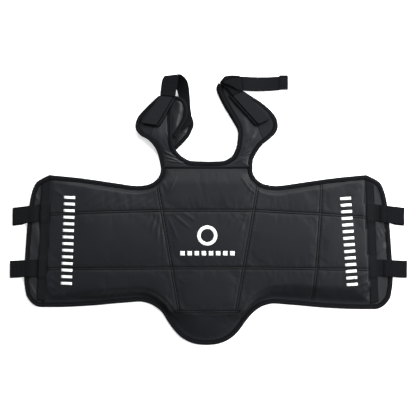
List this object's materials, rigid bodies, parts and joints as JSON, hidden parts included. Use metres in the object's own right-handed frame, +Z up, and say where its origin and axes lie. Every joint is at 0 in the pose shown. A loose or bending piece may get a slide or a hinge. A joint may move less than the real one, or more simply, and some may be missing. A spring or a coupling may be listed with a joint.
{
  "type": "padded chest protector",
  "caption": "Quilted leather chest protector with a bound edge, shoulder wings with hook tabs, side flaps and elastic straps, lying flat face up.",
  "frame": {"origin": "middle of the bounding box on the surface that the part lies on", "axes": "+X to the wearer's left, which is the right of the picture, +Y towards the neck, +Z up out of the front face"},
  "size_m": [0.8876, 0.6042, 0.0339],
  "materials": {
    "panel_leather": "black coated leather with a fine grain and a soft sheen",
    "back_lining": "smooth, glossier black lining",
    "binding_tape": "folded black woven tape",
    "side_webbing": "flat black webbing with cross ribs",
    "elastic": "wide black elastic with fine ribs",
    "loop_pile": "matt black pile",
    "hook_tab": "close matt weave",
    "white_print": "thin matt white print"
  },
  "bodies": {
    "root": {"chest_panel": "panel_leather", "shoulder_yoke": "panel_leather", "left_side_flap": "panel_leather", "right_side_flap": "panel_leather", "left_back_leaf_lower": "back_lining", "left_back_leaf_upper": "back_lining", "right_back_leaf": "back_lining", "hem_binding": "binding_tape", "neck_binding": "binding_tape", "left_armhole_binding": "binding_tape", "right_armhole_binding": "binding_tape", "left_flap_binding": "binding_tape", "right_flap_binding": "binding_tape", "left_back_leaf_lower_binding": "binding_tape", "left_back_leaf_upper_binding": "binding_tape", "right_back_leaf_binding": "binding_tape", "left_side_webbing": "side_webbing", "right_side_webbing": "side_webbing", "left_upper_side_strap": "elastic", "left_lower_side_strap": "elastic", "right_upper_side_strap": "elastic", "right_lower_side_strap": "elastic", "left_shoulder_strap": "elastic", "right_shoulder_strap": "elastic", "right_strap_end_tab": "elastic", "left_loop_patch": "loop_pile", "right_loop_patch": "loop_pile", "left_hook_pad": "loop_pile", "right_hook_pad": "loop_pile", "left_hook_tab": "hook_tab", "right_hook_tab": "hook_tab"}
  },
  "joints": []
}
